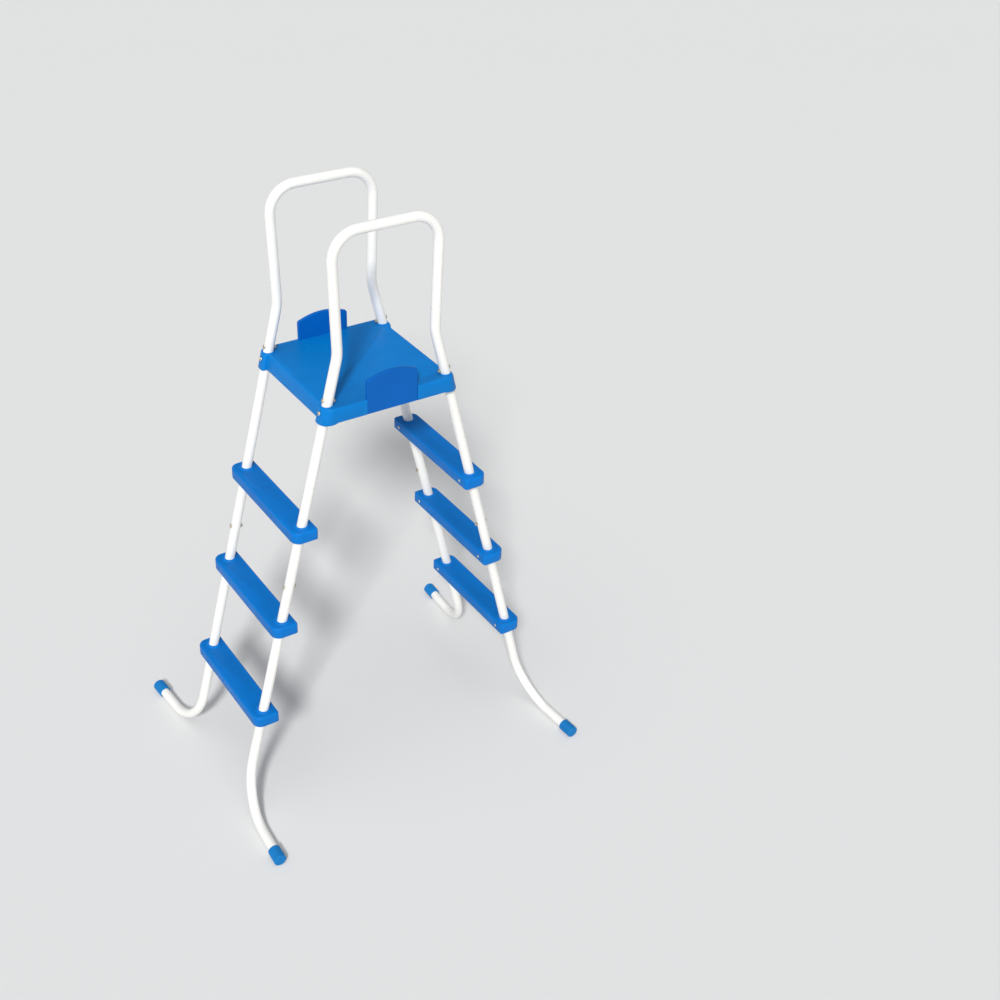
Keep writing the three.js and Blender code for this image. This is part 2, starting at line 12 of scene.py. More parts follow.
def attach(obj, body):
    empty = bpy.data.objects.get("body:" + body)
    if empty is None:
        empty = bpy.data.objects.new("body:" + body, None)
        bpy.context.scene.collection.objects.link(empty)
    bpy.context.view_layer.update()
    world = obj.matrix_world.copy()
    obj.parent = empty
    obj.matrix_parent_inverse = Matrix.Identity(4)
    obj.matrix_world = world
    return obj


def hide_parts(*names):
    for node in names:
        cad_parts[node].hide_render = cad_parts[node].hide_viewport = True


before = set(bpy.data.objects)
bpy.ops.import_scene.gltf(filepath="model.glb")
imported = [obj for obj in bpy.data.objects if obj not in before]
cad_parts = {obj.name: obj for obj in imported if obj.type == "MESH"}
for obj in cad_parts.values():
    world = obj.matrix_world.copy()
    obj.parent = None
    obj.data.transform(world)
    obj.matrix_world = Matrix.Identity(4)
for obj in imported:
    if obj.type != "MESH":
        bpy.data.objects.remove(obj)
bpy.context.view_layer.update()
scene = bpy.context.scene

MM = 0.001
DECK_TOP = 1277
LEG_X, LEG_Y = 173, 181
LEAN = math.radians(14.1)
TUBE_RADIUS, TUBE_WALL, SPIGOT_RADIUS = 14.25, 1.2, 12.25
SPIGOT_LENGTH = 60
GAP = 0.3
LEG_SEAM, SHOULDER = 718, 1268
KINK_HEIGHT, RAIL_HEIGHT, RAIL_CORNER_Y = 1415, 1748, 157
KINK_RADIUS, RAIL_CORNER_RADIUS, FOOT_BEND_RADIUS = 135, 75, 150
FOOT_END_X, TOE_OUT = 445, math.radians(3.4)
CAP_LENGTH, CAP_RADIUS, CAP_GROOVE, CAP_RINGS, CAP_WALL = 49, 18.5, 3.0, 7, 4
FOOT_HEIGHT = 17.5
TREAD_TOPS = (338, 633, 928)
TREAD_HALF, TREAD_FRONT, TREAD_BACK, TREAD_DEPTH = 208, 40, 33, 33
SHELL, RIB = 3, 2.4
SLEEVE_RADIUS, COLLAR_RADIUS, COLLAR_HEIGHT, DECK_COLLAR_RADIUS = 17.6, 22, 2.5, 16.6
SCREW_DROP = 18
DECK_X, DECK_Y, DECK_SKIRT, BLOCK_DEPTH = 203, 188, 42, 45.5
BLOCK_X, BLOCK_Y, BLOCK_INNER_Y = 155, 199.5, 160
GUARD_HALF, GUARD_THICKNESS, GUARD_OUTER_X = 77, 10, 201.5
GUARD_END_TOP, GUARD_MIDDLE_TOP = 1335, 1349
LEG_BOLT_HEIGHT, DECK_BOLT_HEIGHT, RAIL_BOLT_HEIGHT = 740, 1256, 1291
BOLT_RADIUS, HEAD_RADIUS, HEAD_HEIGHT, NUT_WIDTH, NUT_HEIGHT = 3, 6, 4, 10, 5


# ---- camera, floor and light ----
def add_camera():
    data = bpy.data.cameras.new("camera")
    data.sensor_width = 36
    data.lens = 51.891
    camera = bpy.data.objects.new("camera", data)
    right = (0.55098382, 0.83370658, 0.0367447)
    up = (-0.47777973, 0.27904445, 0.83298303)
    back = (0.68421003, -0.47651604, 0.55207708)
    turn = Matrix((right, up, back)).transposed().to_4x4()
    camera.matrix_world = Matrix.Translation((3.10382, -1.66056, 3.15925)) @ turn
    scene.collection.objects.link(camera)
    scene.camera = camera


def add_sun(name, strength, spread, towards, color):
    data = bpy.data.lights.new(name, "SUN")
    data.energy = strength
    data.angle = math.radians(spread)
    data.color = color
    lamp = bpy.data.objects.new(name, data)
    lamp.rotation_mode = "QUATERNION"
    lamp.rotation_quaternion = Vector(towards).to_track_quat("Z", "Y")
    scene.collection.objects.link(lamp)


def add_stage():
    floor_mesh = bpy.data.meshes.new("floor")
    half = 30
    corners = [(-half, -half, 0), (half, -half, 0), (half, half, 0), (-half, half, 0)]
    floor_mesh.from_pydata(corners, [], [(0, 1, 2, 3)])
    floor = bpy.data.objects.new("floor", floor_mesh)
    scene.collection.objects.link(floor)
    pale = bpy.data.materials.new("pale_floor")
    pale.use_nodes = True
    shader = pale.node_tree.nodes["Principled BSDF"]
    shader.inputs["Base Color"].default_value = (0.68, 0.685, 0.69, 1)
    shader.inputs["Roughness"].default_value = 0.9
    shader.inputs["Specular IOR Level"].default_value = 0.1
    floor_mesh.materials.append(pale)
    world = bpy.data.worlds.new("studio")
    scene.world = world
    world.use_nodes = True
    sky = world.node_tree.nodes["Background"]
    sky.inputs["Color"].default_value = (0.97, 0.985, 1.0, 1)
    # pale near the horizon, softer overhead
    nodes, links = world.node_tree.nodes, world.node_tree.links
    direction = nodes.new("ShaderNodeSeparateXYZ")
    links.new(nodes.new("ShaderNodeTexCoord").outputs["Generated"], direction.inputs["Vector"])
    height = nodes.new("ShaderNodeMapRange")
    height.interpolation_type = "SMOOTHSTEP"
    for socket, value in (("From Min", 0.0), ("From Max", 0.42), ("To Min", 0.74), ("To Max", 0.26)):
        height.inputs[socket].default_value = value
    links.new(direction.outputs["Z"], height.inputs["Value"])
    links.new(height.outputs["Result"], sky.inputs["Strength"])
    scene.view_settings.view_transform = "Standard"
    add_sun("key", 2.9, 8, (1.03, -0.77, 1.0), (1.0, 0.99, 0.97))
    add_sun("fill", 0.9, 60, (0.2, -0.25, 1.0), (0.98, 0.99, 1.0))


# ---- materials ----
class Look:
    """A node material around one Principled shader."""

    def __init__(self, name):
        self.material = bpy.data.materials.new(name)
        self.material.use_nodes = True
        self.tree = self.material.node_tree
        self.shader = self.tree.nodes["Principled BSDF"]
        self.place = self.add("ShaderNodeTexCoord").outputs["Object"]

    def add(self, kind, **values):
        node = self.tree.nodes.new(kind)
        for key, value in values.items():
            setattr(node, key, value)
        return node

    def link(self, source, target):
        self.tree.links.new(source, target)

    def noise(self, scale, detail=3.0, roughness=0.5, place=None):
        node = self.add("ShaderNodeTexNoise")
        node.inputs["Scale"].default_value = scale
        node.inputs["Detail"].default_value = detail
        node.inputs["Roughness"].default_value = roughness
        self.link(place or self.place, node.inputs["Vector"])
        return node.outputs["Fac"]

    def spread(self, source, low, high, to_low=0.0, to_high=1.0):
        node = self.add("ShaderNodeMapRange")
        node.inputs["From Min"].default_value = low
        node.inputs["From Max"].default_value = high
        node.inputs["To Min"].default_value = to_low
        node.inputs["To Max"].default_value = to_high
        self.link(source, node.inputs["Value"])
        return node.outputs["Result"]

    def math(self, operation, first, second):
        node = self.add("ShaderNodeMath", operation=operation)
        for socket, value in zip(node.inputs, (first, second)):
            if isinstance(value, (int, float)):
                socket.default_value = value
            else:
                self.link(value, socket)
        return node.outputs["Value"]

    def mix(self, factor, first, second):
        node = self.add("ShaderNodeMix", data_type="RGBA")
        self.link(factor, node.inputs["Factor"])
        for socket, value in ((node.inputs[6], first), (node.inputs[7], second)):
            if isinstance(value, tuple):
                socket.default_value = (*value, 1)
            else:
                self.link(value, socket)
        return node.outputs[2]

    def edges(self, low, high):
        """1 on convex edges, 0 elsewhere."""
        pointiness = self.add("ShaderNodeNewGeometry").outputs["Pointiness"]
        return self.spread(pointiness, low, high)

    def hollows(self, low, high):
        """1 in concave corners, 0 elsewhere."""
        pointiness = self.add("ShaderNodeNewGeometry").outputs["Pointiness"]
        return self.spread(pointiness, high, low)

    def bump(self, height, distance, strength, normal=None):
        node = self.add("ShaderNodeBump")
        node.inputs["Distance"].default_value = distance
        node.inputs["Strength"].default_value = strength
        self.link(height, node.inputs["Height"])
        if normal is not None:
            self.link(normal, node.inputs["Normal"])
        return node.outputs["Normal"]

    def finish(self, color, roughness, normal, **values):
        self.link(color, self.shader.inputs["Base Color"])
        self.link(roughness, self.shader.inputs["Roughness"])
        self.link(normal, self.shader.inputs["Normal"])
        for key, value in values.items():
            self.shader.inputs[key.replace("_", " ")].default_value = value
        return self.material


def shade(color, factor):
    return tuple(min(1.0, value * factor) for value in color)


def moulded_plastic(name, color, worn, grain_depth):
    """Injection-moulded polypropylene: spark-eroded grain, faint flow marks, paler edges, and painted shade mixed with
    dirt in concave corners.
    """
    look = Look(name)
    flow = look.spread(look.noise(7, 4, 0.55), 0.35, 0.65)
    body = look.mix(flow, shade(color, 0.95), shade(color, 1.05))
    speck = look.spread(look.noise(650, 2), 0.62, 0.72, 0, 0.25)
    body = look.mix(speck, body, shade(color, 1.25))
    scuff_and_shade_mottle = look.spread(look.noise(55, 5, 0.7), 0.45, 0.7)
    wear = look.math("MULTIPLY", look.edges(0.53, 0.62), look.math("MULTIPLY", scuff_and_shade_mottle, 0.5))
    body = look.mix(wear, body, worn)
    # painted shade: concave corners and grooves are darkened towards a third of the body colour, broken up by noise so
    # it also reads as dirt
    corner_shade_and_dirt = look.math("MULTIPLY", look.hollows(0.42, 0.496), look.spread(scuff_and_shade_mottle, 0, 1, 0.55, 1))
    body = look.mix(corner_shade_and_dirt, body, shade(color, 0.36))
    rough = look.spread(look.noise(18, 4), 0.3, 0.7, 0.40, 0.52)
    grain = look.bump(look.noise(1150, 2, 0.6), 0.00012, grain_depth)
    ripple = look.bump(look.noise(22, 2), 0.0006, 0.12, grain)
    return look.finish(body, rough, ripple, Specular_IOR_Level=0.13)


def powder_coat():
    """White baked powder coat over steel tube: orange peel, faint grey handling marks."""
    look = Look("powder_coat_white")
    warm = look.spread(look.noise(5, 3), 0.35, 0.65)
    body = look.mix(warm, (0.795, 0.792, 0.765), (0.825, 0.822, 0.80))
    marks = look.spread(look.noise(38, 6, 0.72), 0.62, 0.80, 0, 0.12)
    body = look.mix(marks, body, (0.66, 0.655, 0.63))
    rough = look.spread(look.noise(30, 4), 0.3, 0.7, 0.26, 0.38)
    peel = look.bump(look.noise(420, 2, 0.4), 0.0002, 0.06)
    waves = look.bump(look.noise(30, 1), 0.0005, 0.06, peel)
    return look.finish(body, rough, waves, Coat_Weight=0.15)


def zinc_plate():
    """Bright zinc with a straw tint where the passivation is thicker."""
    look = Look("zinc_plate")
    tint = look.spread(look.noise(160, 4, 0.6), 0.42, 0.68)
    body = look.mix(tint, (0.74, 0.72, 0.66), (0.64, 0.51, 0.29))
    rough = look.spread(look.noise(420, 3), 0.3, 0.7, 0.24, 0.42)
    normal = look.bump(look.noise(900, 2), 0.0001, 0.12)
    return look.finish(body, rough, normal, Metallic=0.95)


# ---- mesh tools, in millimetres ----
def link_object(name, points, faces):
    mesh = bpy.data.meshes.new(name)
    mesh.from_pydata((np.asarray(points, float) * MM).tolist(), [], faces)
    shape = bmesh.new()
    shape.from_mesh(mesh)
    bmesh.ops.remove_doubles(shape, verts=shape.verts, dist=2e-6)
    bmesh.ops.recalc_face_normals(shape, faces=shape.faces)
    shape.to_mesh(mesh)
    shape.free()
    piece = bpy.data.objects.new(name, mesh)
    scene.collection.objects.link(piece)
    return piece


def skin(rings, loop=False):
    """Faces between rings of equal length. A loop joins the last ring to the first; otherwise
    each end is closed with one flat face."""
    count = len(rings[0])
    points = np.concatenate(rings)
    faces = []
    for index in range(len(rings) if loop else len(rings) - 1):
        low = index * count
        high = (index + 1) % len(rings) * count
        for here in range(count):
            after = (here + 1) % count
            faces.append((low + here, low + after, high + after, high + here))
    if not loop:
        faces.append(tuple(range(count)))
        faces.append(tuple(range(len(points) - count, len(points))))
    return points, faces


def lathe(profile, sides=40, loop=False):
    """Turns [radius, height] points about Z."""
    angles = np.linspace(0, 2 * math.pi, sides, endpoint=False)
    circle = np.stack([np.cos(angles), np.sin(angles)], 1)
    rings = [np.column_stack([circle * radius, np.full(sides, height)]) for radius, height in profile]
    return skin(rings, loop)


def block(low, high):
    """A box, as rings, for ribs and cuts."""
    (x0, y0, z0), (x1, y1, z1) = low, high
    plan = np.array([(x0, y0), (x1, y0), (x1, y1), (x0, y1)], float)
    return skin([np.column_stack([plan, np.full(4, z)]) for z in (z0, z1)])


def moved(shape, matrix=None, offset=(0, 0, 0)):
    points, faces = shape
    points = np.asarray(points, float)
    if matrix is not None:
        points = points @ np.asarray(matrix).T
    return points + np.asarray(offset, float), faces


def combine(target, operation, shapes):
    """Joins shapes to an object, or cuts them out of it."""
    tools = [link_object(f"tool_{index}", *shape) for index, shape in enumerate(shapes)]
    for tool in tools:
        step = target.modifiers.new("step", "BOOLEAN")
        step.operation = operation
        step.solver = "EXACT"
        step.object = tool
    bpy.context.view_layer.update()
    depsgraph = bpy.context.evaluated_depsgraph_get()
    result = bpy.data.meshes.new_from_object(target.evaluated_get(depsgraph))
    target.modifiers.clear()
    target.data = result
    for tool in tools:
        bpy.data.objects.remove(tool)
    return target


def rotation(axis, angle):
    return np.array(Matrix.Rotation(angle, 3, axis))


LEANING = rotation("X", -LEAN)
ACROSS = rotation("X", -math.pi / 2)  # Z becomes Y


def onto_leg(shape, side):
    """From the leg's frame (Z up the leg, Y across it) to the garden flight's frame."""
    return moved(shape, LEANING, (side * LEG_X, -LEG_Y, DECK_TOP))


def leg_point(height):
    return np.array([LEG_X, -(LEG_Y + math.tan(LEAN) * (DECK_TOP - height)), height])


def along_leg(height):
    return (height - DECK_TOP) / math.cos(LEAN)


def rounded_outline(corners, radii, steps=8, spacing=14.0):
    """A closed plan outline, counter-clockwise, with round corners and points along its sides."""
    corners = np.array(corners, float)
    count = len(corners)
    arcs = []
    for index in range(count):
        before = corners[index - 1] - corners[index]
        after = corners[(index + 1) % count] - corners[index]
        before /= np.linalg.norm(before)
        after /= np.linalg.norm(after)
        half = math.acos(np.clip(before @ after, -1, 1)) / 2
        middle = before + after
        middle /= np.linalg.norm(middle)
        radius = radii[index]
        centre = corners[index] + middle * radius / math.sin(half)
        start = corners[index] + before * radius / math.tan(half) - centre
        end = corners[index] + after * radius / math.tan(half) - centre
        first = math.atan2(start[1], start[0])
        sweep = (math.atan2(end[1], end[0]) - first + math.pi) % (2 * math.pi) - math.pi
        angles = first + sweep * np.linspace(0, 1, steps + 1)
        arcs.append(centre + radius * np.stack([np.cos(angles), np.sin(angles)], 1))
    points = []
    for index, arc in enumerate(arcs):
        points.extend(arc)
        gap = arcs[(index + 1) % count][0] - arc[-1]
        pieces = max(1, round(np.linalg.norm(gap) / spacing))
        points.extend(arc[-1] + gap * step / pieces for step in range(1, pieces))
    return np.array(points)


def inset(outline, distance):
    """The outline moved inwards, with mitred corners."""
    before = outline - np.roll(outline, 1, 0)
    after = np.roll(outline, -1, 0) - outline
    normals = []
    for edge in (before, after):
        edge = edge / np.linalg.norm(edge, axis=1, keepdims=True)
        normals.append(np.stack([-edge[:, 1], edge[:, 0]], 1))
    total = normals[0] + normals[1]
    scale = 1 + (normals[0] * normals[1]).sum(1, keepdims=True)
    return outline + distance * total / scale


def shell_rings(outline, top, bottom, fillet, wall):
    """Rings of an open-bottomed moulding: flat top, round edge, side, lip, inside and ceiling."""
    turn = np.linspace(0, math.pi / 2, 6)
    steps = [(fillet + 1.2, 0, 0)]
    steps += [(fillet * (1 - math.sin(a)), -fillet * (1 - math.cos(a)), 0) for a in turn]
    steps += [(0, -0.9, 1), (0.3, -0.25, 1), (0.9, 0, 1), (wall - 0.6, 0, 1), (wall, -0.5, 1)]
    steps += [(wall, -wall - 2.5, 0), (wall + 0.8, -wall - 0.8, 0), (wall + 2.5, -wall, 0)]
    rings = []
    for distance, height, low in steps:
        plan = inset(outline, distance)
        z = bottom - height if low else np.full(len(plan), top + height, float)
        rings.append((plan, z))
    return rings


def collar(radius, flare):
    """A low round collar about Z: flared foot, side and rounded top."""
    top = COLLAR_HEIGHT
    return lathe([
        (0, -2), (radius + flare, -2), (radius + flare, 0.03), (radius + 0.54 * flare, 0.22),
        (radius + 0.2 * flare, 0.7), (radius, 1.3), (radius - 0.2, top - 0.5),
        (radius - 0.5, top - 0.12), (radius - 0.9, top), (0, top),
    ], 64)


def leaning_bar(radius, low, high):
    """A bar about the leg's axis, cut off level at both ends. The axis crosses Z = 0 at the origin."""
    angles = np.linspace(0, 2 * math.pi, 48, endpoint=False)
    rings = []
    for z in (low, high):
        y = radius * np.sin(angles) / math.cos(LEAN) + math.tan(LEAN) * z
        rings.append(np.column_stack([radius * np.cos(angles), y, np.full(48, z)]))
    return skin(rings)


# ---- tubes ----
def bent_path(corners, radii, steps):
    """Points and directions along straight runs joined by round bends."""
    corners = [np.asarray(corner, float) for corner in corners]
    unit = lambda vector: vector / np.linalg.norm(vector)
    stations = [(corners[0], unit(corners[1] - corners[0]))]
    for index, (radius, count) in enumerate(zip(radii, steps)):
        corner = corners[index + 1]
        before = unit(corner - corners[index])
        after = unit(corners[index + 2] - corner)
        angle = math.acos(np.clip(before @ after, -1, 1))
        inward = unit(after - before * (before @ after))
        start = corner - before * radius * math.tan(angle / 2)
        for step in range(count + 1):
            part = angle * step / count
            point = start + before * radius * math.sin(part) + inward * radius * (1 - math.cos(part))
            stations.append((point, before * math.cos(part) + inward * math.sin(part)))
    stations.append((corners[-1], unit(corners[-1] - corners[-2])))
    return stations


def tube_skin(stations, normal, outer, inner, sides=48):
    """A tube with a wall. outer and inner give the radius at each station."""
    angles = np.linspace(0, 2 * math.pi, sides, endpoint=False)
    normal = np.asarray(normal, float)
    rings = []
    for (point, along), radius in list(zip(stations, outer)) + list(zip(stations, inner))[::-1]:
        across = np.cross(normal, along)
        circle = np.outer(np.cos(angles), normal) + np.outer(np.sin(angles), across)
        rings.append(point + radius * circle)
    return skin(rings, loop=True)


def lower_leg(side):
    top, bend = leg_point(LEG_SEAM), leg_point(FOOT_HEIGHT)
    up = np.array([0, math.sin(LEAN), math.cos(LEAN)])
    foot_x = FOOT_END_X - CAP_WALL - GAP
    foot = np.array([foot_x, bend[1] - (foot_x - bend[0]) * math.tan(TOE_OUT), FOOT_HEIGHT])
    stations = bent_path([top, bend, foot], [FOOT_BEND_RADIUS], [28])
    swage = [(top + up * rise, -up) for rise in (SPIGOT_LENGTH, SPIGOT_LENGTH - 1, 4, 1.0, 0.3)]
    stations = swage + stations
    outer = [SPIGOT_RADIUS - 0.5, SPIGOT_RADIUS, SPIGOT_RADIUS, SPIGOT_RADIUS + 0.2, TUBE_RADIUS - 0.5]
    outer += [TUBE_RADIUS] * (len(stations) - len(outer))
    inner = [radius - TUBE_WALL for radius in outer]
    normal = np.cross(-up, stations[-1][1])
    normal /= np.linalg.norm(normal)
    points, faces = tube_skin(stations, normal, outer, inner)
    points[:, 0] *= side
    return points, faces


def upper_leg(side):
    bottom, shoulder = along_leg(LEG_SEAM) + 1 + GAP, along_leg(SHOULDER)
    wall = TUBE_WALL
    heights = [bottom, bottom + 0.5, shoulder - 0.6, shoulder, shoulder + 1, shoulder + 4,
               shoulder + SPIGOT_LENGTH - 1, shoulder + SPIGOT_LENGTH]
    outer = [TUBE_RADIUS - 0.5, TUBE_RADIUS, TUBE_RADIUS, TUBE_RADIUS - 0.5, SPIGOT_RADIUS + 0.2,
             SPIGOT_RADIUS, SPIGOT_RADIUS, SPIGOT_RADIUS - 0.5]
    profile = list(zip(outer, heights))
    profile += [(radius - wall, height) for radius, height in reversed(profile)]
    return onto_leg(lathe(profile, 48, loop=True), side)


def handrail(side):
    end, kink = leg_point(SHOULDER + 1 + GAP), leg_point(KINK_HEIGHT)
    rising = [(end[1], end[2]), (kink[1], kink[2]), (-RAIL_CORNER_Y, RAIL_HEIGHT)]
    falling = [(-y, z) for y, z in reversed(rising)]
    corners = [np.array([side * LEG_X, y, z]) for y, z in rising + falling]
    radii = [KINK_RADIUS, RAIL_CORNER_RADIUS, RAIL_CORNER_RADIUS, KINK_RADIUS]
    stations = bent_path(corners, radii, [10, 24, 24, 10])
    nose = 0.6
    first, last = stations[0], stations[-1]
    stations.insert(1, (first[0] + first[1] * nose, first[1]))
    stations.insert(-1, (last[0] - last[1] * nose, last[1]))
    outer = [TUBE_RADIUS] * len(stations)
    outer[0] = outer[-1] = TUBE_RADIUS - 0.5
    inner = [TUBE_RADIUS - TUBE_WALL] * len(stations)
    return tube_skin(stations, (1, 0, 0), outer, inner)


# ---- foot cap ----
def foot_cap(side):
    pitch = CAP_LENGTH / CAP_RINGS
    bore = TUBE_RADIUS + 0.25
    profile = [(0, CAP_LENGTH - CAP_WALL), (bore, CAP_LENGTH - CAP_WALL), (bore, 0.8), (bore + 0.6, 0)]
    rise = ((0.06, 1.0), (0.14, 1.0), (0.19, 0.62), (0.24, 0.26), (0.31, 0.09), (0.40, 0.02))
    rise += tuple((1 - place, depth) for place, depth in reversed(rise))
    for ring in range(CAP_RINGS):
        for place, depth in rise:
            profile.append((CAP_RADIUS - CAP_GROOVE * depth, (ring + place) * pitch))
    rim = CAP_RADIUS - CAP_GROOVE - 1.2
    profile += [(rim, CAP_LENGTH - 0.12), (rim - 1.0, CAP_LENGTH), (rim - 3.2, CAP_LENGTH)]
    profile += [(rim - 4.0, CAP_LENGTH - 0.7), (2.0, CAP_LENGTH - 0.9), (0, CAP_LENGTH - 0.4)]
    points, faces = lathe(profile, 56)
    # lathe axis Z becomes X
    points = points[:, [2, 1, 0]] * (1, 1, -1)
    points = points @ rotation("Z", -TOE_OUT if side > 0 else math.pi + TOE_OUT).T
    bend = leg_point(FOOT_HEIGHT)
    start = FOOT_END_X - CAP_LENGTH * math.cos(TOE_OUT)
    across = bend[1] - (start - bend[0]) * math.tan(TOE_OUT)
    points = points + (side * start, across, FOOT_HEIGHT)
    points[:, 2] = np.maximum(points[:, 2], 0)
    return points, faces


# ---- tread ----
def make_tread():
    corners = [(-TREAD_HALF, -TREAD_FRONT), (TREAD_HALF, -TREAD_FRONT),
               (TREAD_HALF, TREAD_BACK), (-TREAD_HALF, TREAD_BACK)]
    outline = rounded_outline(corners, [26, 26, 8, 8], 10)
    bottom = np.full(len(outline), -TREAD_DEPTH, float)
    rings = [np.column_stack([plan, z]) for plan, z in shell_rings(outline, 0, bottom, 4.6, SHELL)]
    tread = link_object("tread_blank", *skin(rings))
    rib_end = -TREAD_DEPTH + 6
    parts = [block((x - RIB / 2, -TREAD_FRONT + 1, rib_end), (x + RIB / 2, TREAD_BACK - 1, -1.5))
             for x in (-112, -75, -37, 0, 37, 75, 112)]
    reach = LEG_X - TUBE_RADIUS - 2
    parts.append(block((-reach, -RIB / 2, rib_end), (reach, RIB / 2, -1.5)))
    cuts = []
    for side in (-1, 1):
        axis = (side * LEG_X, 0, 0)
        parts.append(moved(leaning_bar(SLEEVE_RADIUS, -TREAD_DEPTH + 0.4, -1.5), None, axis))
        parts.append(moved(collar(COLLAR_RADIUS, 2.6), None, axis))
        boss = lathe([(0, 10), (6, 10), (6, TREAD_BACK - 1), (0, TREAD_BACK - 1)], 24)
        parts.append(moved(boss, ACROSS, (side * LEG_X, 0, -SCREW_DROP)))
        cuts.append(moved(leaning_bar(TUBE_RADIUS + 0.25, -60, 30), None, axis))
        drill = lathe([(0, 0), (2.6, 0), (2.6, 50), (0, 50)], 16)
        cuts.append(moved(drill, ACROSS, (side * LEG_X, 0, -SCREW_DROP)))
    combine(tread, "UNION", parts)
    combine(tread, "DIFFERENCE", cuts)
    return tread


# ---- platform ----
def lean_out(points):
    """The long edges lean with the legs, so a lower point stands further out."""
    points = points.copy()
    points[:, 1] -= np.sign(points[:, 1]) * math.tan(LEAN) * points[:, 2]
    return points


def make_platform():
    quarter = [(BLOCK_X, -DECK_Y, 2), (BLOCK_X, -BLOCK_Y, 9), (DECK_X, -BLOCK_Y, 29.5)]
    garden = [(-x, y, r) for x, y, r in reversed(quarter)] + quarter
    whole = garden + [(-x, -y, r) for x, y, r in garden]
    outline = rounded_outline([(x, y) for x, y, _ in whole], [r for _, _, r in whole], 10, 9)
    # The corner blocks hang a little lower than the skirt and run into it with a soft step.
    inward = np.clip((np.abs(outline[:, 0]) - (BLOCK_X - 7)) / 9, 0, 1)
    forward = np.clip((np.abs(outline[:, 1]) - (BLOCK_INNER_Y - 6)) / 9, 0, 1)
    drop = inward * inward * (3 - 2 * inward) * forward * forward * (3 - 2 * forward)
    bottom = -DECK_SKIRT - (BLOCK_DEPTH - DECK_SKIRT) * drop
    rings = []
    for plan, z in shell_rings(outline, 0, bottom, 3.0, SHELL):
        rings.append(lean_out(np.column_stack([plan, z])))
    deck = link_object("deck_blank", *skin(rings))
    parts, cuts = [], []
    for x in (-108, -72, -36, 0, 36, 72, 108):
        parts.append(block((x - RIB / 2, -DECK_Y + 1, -22), (x + RIB / 2, DECK_Y - 1, -1.5)))
    for y in (-120, -60, 0, 60, 120):
        parts.append(block((-DECK_X + 1, y - RIB / 2, -22), (DECK_X - 1, y + RIB / 2, -1.5)))
    pocket_x = GUARD_OUTER_X - GUARD_THICKNESS - GAP
    pocket_y = GUARD_HALF + GAP
    for side in (-1, 1):
        near, far = sorted((side * (pocket_x - SHELL), side * (DECK_X - 0.5)))
        parts.append(block((near, -pocket_y - SHELL, -DECK_SKIRT + 0.5), (far, pocket_y + SHELL, -1.5)))
        near, far = sorted((side * pocket_x, side * (DECK_X + 8)))
        cuts.append(block((near, -pocket_y, -DECK_SKIRT - 12), (far, pocket_y, 12)))
    for turn in (0, math.pi):
        around = rotation("Z", turn)
        for side in (-1, 1):
            axis = (side * LEG_X, -LEG_Y, 0)
            sleeve = leaning_bar(SLEEVE_RADIUS, -BLOCK_DEPTH + 0.5, -1.5)
            for part in (sleeve, collar(DECK_COLLAR_RADIUS, 0.6)):
                parts.append(moved(moved(part, None, axis), around))
            cuts.append(moved(moved(leaning_bar(TUBE_RADIUS + 0.25, -70, 30), None, axis), around))
            drill = lathe([(0, -60), (3.6, -60), (3.6, 60), (0, 60)], 16)
            drill = moved(moved(drill, ACROSS), None, (0, 0, along_leg(DECK_BOLT_HEIGHT)))
            cuts.append(moved(moved(drill, LEANING, axis), around))
    combine(deck, "UNION", parts)
    combine(deck, "DIFFERENCE", cuts)
    deck.data.transform(Matrix.Translation((0, 0, DECK_TOP * MM)))
    return deck


# ---- side guard ----
def side_guard(side):
    bottom = DECK_TOP - DECK_SKIRT
    half, corner = GUARD_HALF, 8.0
    sides = [(-half, bottom), (half, bottom)]
    rise = GUARD_MIDDLE_TOP - GUARD_END_TOP
    arch_half = half - corner
    slope = math.atan(2 * rise / arch_half)
    turn = np.linspace(0, math.pi / 2 - slope / 2, 9)
    right = [(half - corner + corner * math.cos(a), GUARD_END_TOP - corner + corner * math.sin(a)) for a in turn]
    arch_x = np.linspace(arch_half - 3, -arch_half + 3, 25)
    arch = [(x, GUARD_END_TOP + 0.2 + rise * (1 - (x / arch_half) ** 2)) for x in arch_x]
    left = [(-x, z) for x, z in reversed(right)]
    outline = np.array(sides + right + arch + left)
    profile = []
    edge = 2.2
    for a in np.linspace(0, math.pi / 2, 6):
        profile.append((edge * (1 - math.sin(a)), edge * (1 - math.cos(a))))
    thickness = GUARD_THICKNESS
    steps = [(edge + 1.2, 0)] + profile
    steps += [(distance, thickness - depth) for distance, depth in reversed(steps)]
    rings = []
    for distance, depth in steps:
        plan = inset(outline, distance)
        # the foot of the plate is cut square
        plan[:, 1] = np.where(outline[:, 1] <= bottom, bottom, plan[:, 1])
        x = side * (GUARD_OUTER_X - depth)
        rings.append(np.column_stack([np.full(len(plan), x), plan]))
    guard = link_object(f"guard_blank_{side}", *skin(rings))
    wall = 2.5
    plan = inset(outline, wall)
    plan[:, 1] = np.where(outline[:, 1] <= bottom, bottom - 5, plan[:, 1])
    depths = (wall, thickness - wall)
    hollow = [np.column_stack([np.full(len(plan), side * (GUARD_OUTER_X - d)), plan]) for d in depths]
    return combine(guard, "DIFFERENCE", [skin(hollow)])


# ---- fasteners ----
def screw_profile(radius, head_radius, head_height, reach, tip, thread_from, pitch):
    """A pan head, plain shank and grooved thread along Z: head below -reach, tip at +tip."""
    profile = [(0, -reach - head_height)]
    for angle in np.linspace(0.2, 1, 7):
        part = angle * math.pi / 2
        profile.append((head_radius * math.sin(part), -reach - head_height * (0.35 + 0.65 * math.cos(part))))
    profile += [(head_radius, -reach - 0.25), (head_radius - 0.3, -reach), (radius, -reach)]
    height = thread_from
    while height < tip - pitch:
        profile += [(radius, height), (radius, height + 0.25 * pitch), (radius * 0.84, height + 0.5 * pitch),
                    (radius * 0.84, height + 0.6 * pitch)]
        height += pitch
    profile += [(radius, tip - 0.7), (radius * 0.75, tip), (0, tip)]
    return profile


